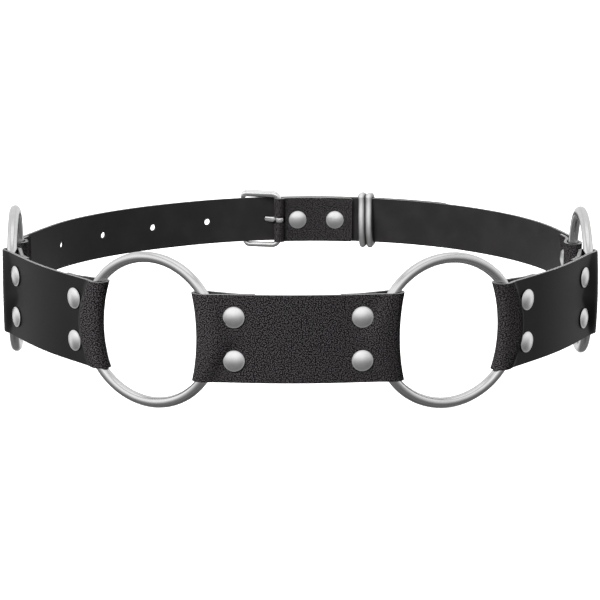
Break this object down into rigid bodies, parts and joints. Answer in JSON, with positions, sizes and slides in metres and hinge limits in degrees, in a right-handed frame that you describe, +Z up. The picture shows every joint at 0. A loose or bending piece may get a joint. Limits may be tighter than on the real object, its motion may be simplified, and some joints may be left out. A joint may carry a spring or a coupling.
{
  "type": "o-ring belt",
  "caption": "Black leather waist belt: wide panels joined by metal O-rings in riveted folds, closed at the back by a prong buckle, a punched strap and a keeper.",
  "frame": {"origin": "middle of the belt's box, at the level of the rings' undersides", "axes": "+Z up, -Y towards the wide front panel, +Y towards the buckle, +X towards the end of the row that carries the buckle strap"},
  "size_m": [0.2874, 0.2868, 0.0716],
  "materials": {
    "leather": "black pebble-grained top side, smooth matt flesh side, grey cut edges",
    "rings": "satin nickel-coloured round wire",
    "rivets": "satin domed caps",
    "buckle": "satin wire and formed strip"
  },
  "bodies": {
    "root": {"front_panel": "leather", "front_panel_rivet_1": "rivets", "front_panel_rivet_2": "rivets", "front_panel_rivet_3": "rivets", "front_panel_rivet_4": "rivets", "left_panel": "leather", "left_panel_rivet_1": "rivets", "left_panel_rivet_2": "rivets", "left_panel_rivet_3": "rivets", "left_panel_rivet_4": "rivets", "right_panel": "leather", "right_panel_rivet_1": "rivets", "right_panel_rivet_2": "rivets", "right_panel_rivet_3": "rivets", "right_panel_rivet_4": "rivets", "ring_front_left": "rings", "ring_front_right": "rings", "ring_side_left": "rings", "ring_side_right": "rings", "tail_strap": "leather", "buckle_strap": "leather", "buckle_rivet_1": "rivets", "buckle_rivet_2": "rivets", "ring_strap_rivet": "rivets", "buckle_frame": "buckle", "buckle_prong": "buckle", "keeper": "buckle"}
  },
  "joints": []
}
